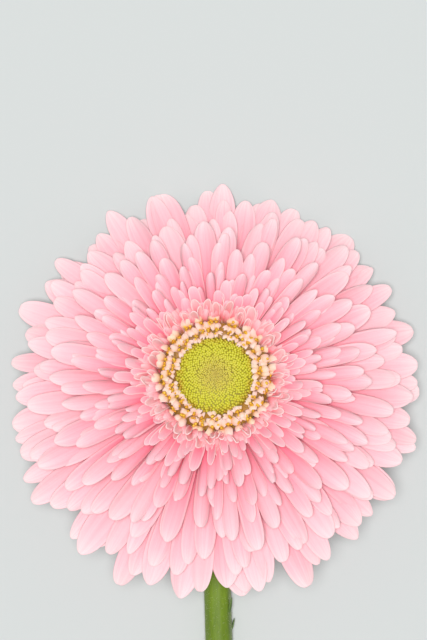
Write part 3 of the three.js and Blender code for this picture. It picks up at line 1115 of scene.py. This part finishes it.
points, faces = [], []
for k, (x, y, z, size) in enumerate(pollen_spots()):
    top = len(points)
    for degrees, sides in CLUMP_RINGS:
        down = radians(degrees)
        for i in range(sides):
            a = 2 * pi * (i + degrees / 100) / CLUMP_SIDES
            bump = size * (1 + 0.2 * draw(k * 20 + i + degrees, 113))
            points.append(at_head((
                (x + bump * sin(down) * cos(a)) * MM,
                (y + bump * sin(down) * sin(a)) * MM,
                (z + bump * cos(down)) * MM,
            )))
    bottom = len(points) - 1
    first, last = top + 1, bottom - CLUMP_SIDES
    for i in range(CLUMP_SIDES):
        j = (i + 1) % CLUMP_SIDES
        faces.append((top, first + i, first + j))
        for a in range(first, last, CLUMP_SIDES):
            b = a + CLUMP_SIDES
            faces.append((a + i, b + i, b + j, a + j))
        faces.append((last + i, bottom, last + j))
pollen = piece_from("pollen", points, faces, anther_gold)
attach(pollen, "root")


# The frill florets
# Small curled florets between the cream ones and the petals: short pink tongues, cupped lengthwise
# with pale rolled rims, that lean every way.

FRILL_COUNT = 240
FRILL_FIRST = 500  # where the frill takes up the petals' spiral

# The brown at the root is painted shade deep between the frill florets; the deep pink above it is partly
# their own colour and partly painted shade.
frill_stops = [(0.0, "B8603A"), (0.3, "EC6C72"), (0.62, "F89AA2"), (1.0, "FBC9CA")]
frill_pink = petal_material("Frill pink", frill_stops, frill_stops, "F4727C", 0.12, 0.34)


def frill_facts():
    """Rows from the petals in to the crown: scoops whose tips turn up, then more and more hoods."""
    for k in range(FRILL_COUNT):
        row = k / (FRILL_COUNT - 1)
        if draw(k, 89) > 0.1 - 0.9 * row:
            start, end, curl = 80, -35, -1.2
            length, width = mix(5.8, 3.9, row), mix(2.6, 2.3, row)
        else:
            start, end, curl = mix(42, 60, row), mix(36, 66, row), 0.95
            length, width = mix(7.2, 4.5, row), mix(3.1, 2.6, row)
        yield dict(
            azimuth=(k + FRILL_FIRST) * GOLDEN_ANGLE + 0.05 * draw(k, 90),
            root_out=mix(16.6, 15.6, row) * MM,
            root_up=mix(9.1, 10.0, row) * MM,
            stalk=1.8 * MM,
            start_slope=radians(start + 8 * draw(k, 91)),
            end_slope=radians(end + 24 * draw(k, 92)),
            length=length * (1 + 0.18 * draw(k, 93)) * MM,
            width=width * (1 + 0.2 * draw(k, 94)) * MM,
            roll=radians(26 * draw(k, 95)),
            twist=radians(52 * draw(k, 96)),
            sweep=1.0 * draw(k, 97) * MM,
            curl=curl + 0.4 * draw(k, 98),
            crease=0.06,
            ripple=0.35 * draw(k, 99),
            shade=draw(k, 100),
            inward=1.0,
        )


frill = make_blades("frill_florets", frill_facts(), {
    "Columns": 5, "Rows": 7, "Root share": 0.5, "Fullness": 0.8, "Widest at": 0.76, "Tip sharpness": 0.42,
    "Tip bluntness": 2.4, "Stalk share": 0.1,
}, frill_pink, 0.36 * MM)
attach(frill, "root")


# The disc of buds
# Closed florets packed in spirals over a low dome: waxy lime-green beads, larger and brighter
# towards the rim and fine and olive in the middle, with brown-gold shade between them.

DISC_RADIUS = 10.7
DISC_RIM = 10.3
DISC_CROWN = 1.9
BUD_EDGE = DISC_RADIUS - 0.1

# Waxy beads whose colour goes from the middle of the disc to its rim, darker at the foot as painted shade
# where they crowd together
bud_lime, tree, surface = new_material("Bud lime")
place = told(tree, "tone") * 0.07 + told(tree, "rim")
top = ramp(tree, place, [
    (0.0, "D0BC5A"), (0.3, "D4C654"), (0.55, "D6D046"), (0.78, "D2CE3C"), (0.9, "CCC038"),
    (1.0, "BC9832"),
])
# The foot's darker colours are painted shade between the beads.
foot = ramp(tree, place, [(0.0, "C4A84E"), (0.5, "A89E26"), (0.85, "948A1C"), (1.0, "94701C")])
up = spread(told(tree, "tall"), 0.3, 0.7, 0.0, 1.0)
clouds = noise(tree, object_place(tree), 700.0, 2.0)
feed(surface, {
    "Base Color": blend_colours(tree, up, foot, top),
    "Roughness": spread(clouds, 0.0, 1.0, 0.28, 0.5),
    "Subsurface Weight": 0.2,
    "Subsurface Radius": (0.9, 1.0, 0.2),
    "Subsurface Scale": 0.5 * MM,
})


def bud_bead(tree, given):
    """One round bud, whose points note how high up it they lie."""
    radius = given["Bud radius"]
    ball = result(tree, "GeometryNodeMeshUVSphere", {"Radius": radius, "Segments": 8, "Rings": 5})
    ball = noted(tree, ball, "tall", own_place(tree)[2] / radius * 0.5 + 0.5)
    return result(tree, "GeometryNodeSetShadeSmooth", {"Geometry": ball})


def bud_tree():
    """The buds: beads on a golden spiral over the dome, each upright on it and a little astray."""
    tree, given, out = geometry_tree("Bud spiral", {
        "Count": 980, "Disc radius": BUD_EDGE * MM, "Rim height": DISC_RIM * MM,
        "Crown height": DISC_CROWN * MM, "Bud radius": 0.47 * MM, "Head lean": HEAD_LEAN,
        "Head place": tuple(head_place), "Seed": 5,
    })
    number = result(tree, "GeometryNodeInputIndex")
    stray, aside, above, tone = (number_between(tree, -1.0, 1.0, seed) for seed in (11, 12, 13, 14))
    rim = ((number + 0.5) / given["Count"]) ** 0.7
    angle = number * GOLDEN_ANGLE + aside * 0.016 / (rim + 0.05)
    to_x, to_y = cosine(angle), sine(angle)
    radius = rim * given["Disc radius"] + stray * 0.15 * MM
    h = given["Rim height"] + given["Crown height"] * (1.0 - rim * rim)
    place = vector(*head_to_table(given, radius * to_x, radius * to_y, h + above * 0.12 * MM))
    row = result(tree, "GeometryNodeMeshLine", {"Count": given["Count"]})
    spots = result(tree, "GeometryNodeSetPosition", {"Geometry": row, "Position": place})
    spots = noted(tree, noted(tree, spots, "rim", rim), "tone", tone)

    # Each bead points straight out of the dome, and those towards the rim are the biggest
    slant = rim * (2 * DISC_CROWN / DISC_RADIUS)
    upright = vector(*leant(given, slant * to_x, slant * to_y, 1.0))
    size = number_between(tree, 0.85, 1.12, given["Seed"]) * rim ** 0.285
    buds = result(tree, "GeometryNodeInstanceOnPoints", {
        "Points": spots, "Instance": bud_bead(tree, given), "Rotation": upright_to(tree, upright),
        "Scale": vector(size, size, size * 1.35),
    })
    return finish_tree(tree, given, out, buds)


start = placed("bud_start", bpy.data.meshes.new("bud_start"))
buds = grown(start, "disc_buds", bud_tree(), {"Material": bud_lime})
bpy.data.objects.remove(start)
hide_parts("disc")
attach(buds, "root")

# The dome under the buds closes the gaps between them, and its brown-gold is painted shade between the buds
BED_FOOT = 7.9
BED_STEPS = 8
bed_painted_shade = plant_material("Bud bed", "A89A24", "8A7614", 0.4 * MM, 0.4, 0.1)

profile = [(0.3 * MM, BED_FOOT * MM), ((DISC_RADIUS - 0.3) * MM, BED_FOOT * MM)]
for k in range(BED_STEPS + 1):
    share = 1 - k / BED_STEPS
    height = DISC_RIM + DISC_CROWN * (1 - share * share) - 0.15
    profile.append((max(BUD_EDGE * share, 0.3) * MM, height * MM))
bed = turned_piece("bud_bed", profile, bed_painted_shade)
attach(bed, "root")


# The table, the light and the camera
# A plain pale surface that runs out of sight, wide soft light from above and all round as in a
# white studio, and a camera that looks down into the bloom.

TABLE_REACH = 25

pale_table, tree, surface = new_material("Pale table")
feed(surface, {"Base Color": linear("CACECD"), "Roughness": 0.85, "Specular IOR Level": 0.15})
corners = [(x * TABLE_REACH, y * TABLE_REACH, 0) for x, y in ((-1, -1), (1, -1), (1, 1), (-1, 1))]
table_top = piece_from("table_top", corners, [(0, 1, 2, 3)], pale_table, smooth=False)

world = bpy.data.worlds.new("Studio")
world.use_nodes = True
feed(world.node_tree.nodes["Background"], {"Color": linear("F8FAFA"), "Strength": 0.29})
scene.world = world

wash = bpy.data.lights.new("wash", "SUN")
wash.energy = 2.98
wash.angle = radians(15)
wash_lamp = placed("wash", wash)
wash_lamp.rotation_euler = Vector((-0.03, 0.185, 1)).to_track_quat("Z", "Y").to_euler()

CAMERA_LEAN = radians(10)
CAMERA_DISTANCE = 1.0
DISC_HEIGHT = 11 * MM
view_back = Vector((0, sin(CAMERA_LEAN), cos(CAMERA_LEAN)))
view_up = Vector((0, cos(CAMERA_LEAN), -sin(CAMERA_LEAN)))
aim = at_head((0, 0, DISC_HEIGHT)) + view_up * 15 * MM + Vector((-0.5 * MM, 0, 0))

camera_data = bpy.data.cameras.new("camera")
camera_data.lens = 207
camera_data.clip_start = 0.05
camera_data.clip_end = 10
camera = placed("camera", camera_data)
camera.location = aim + view_back * CAMERA_DISTANCE
camera.rotation_mode = "QUATERNION"
camera.rotation_quaternion = Matrix(((1, 0, 0), view_up, view_back)).transposed().to_quaternion()
scene.camera = camera

scene.view_settings.view_transform = "Standard"
scene.view_settings.look = "None"
